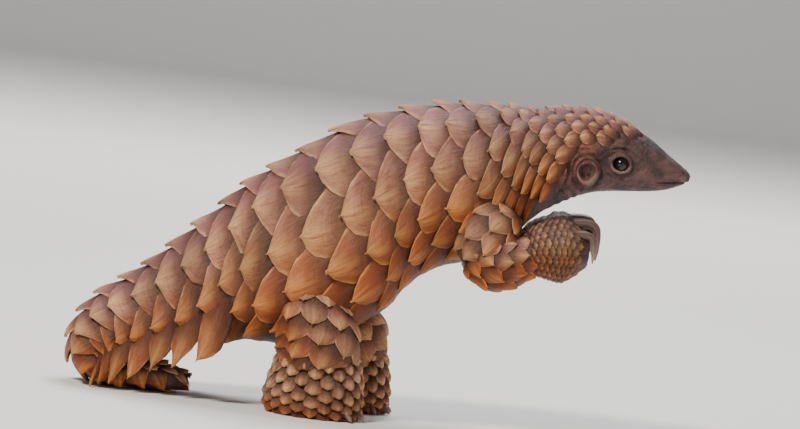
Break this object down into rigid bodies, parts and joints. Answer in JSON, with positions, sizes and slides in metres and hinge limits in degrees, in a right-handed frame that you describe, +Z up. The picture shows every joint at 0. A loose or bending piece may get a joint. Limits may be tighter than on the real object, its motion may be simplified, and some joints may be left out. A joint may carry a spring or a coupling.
{
  "type": "ground pangolin",
  "caption": "Life-size still model of a ground pangolin walking on its hind legs, forefeet held up, tail curled under on the floor, body covered in overlapping horn plates.",
  "frame": {"origin": "on the floor under the middle of the animal's bounding box", "axes": "+X towards the head, +Y towards the animal's left, +Z up"},
  "size_m": [0.5993, 0.1932, 0.3348],
  "materials": {
    "horn": "worn, finely striated horn",
    "skin": "bare wrinkled hide",
    "claw": "smooth worn claw",
    "eye": "wet gloss"
  },
  "bodies": {
    "root": {"chest": "horn", "ear_left": "skin", "ear_right": "skin", "eye_left": "eye", "eye_right": "eye", "foreclaw_inner_left": "claw", "foreclaw_inner_right": "claw", "foreclaw_middle_left": "claw", "foreclaw_middle_right": "claw", "foreclaw_outer_left": "claw", "foreclaw_outer_right": "claw", "foreleg_left": "horn", "foreleg_right": "horn", "forepaw_left": "horn", "forepaw_right": "horn", "head": "skin", "hindclaw_1_left": "claw", "hindclaw_1_right": "claw", "hindclaw_2_left": "claw", "hindclaw_2_right": "claw", "hindclaw_3_left": "claw", "hindclaw_3_right": "claw", "hindclaw_4_left": "claw", "hindclaw_4_right": "claw", "hindfoot_left": "horn", "hindfoot_right": "horn", "hindleg_left": "horn", "hindleg_right": "horn", "hips": "horn", "neck": "horn", "tail_base": "horn", "tail_bend": "horn", "tail_middle": "horn", "tail_tip": "horn", "trunk": "horn"}
  },
  "joints": []
}
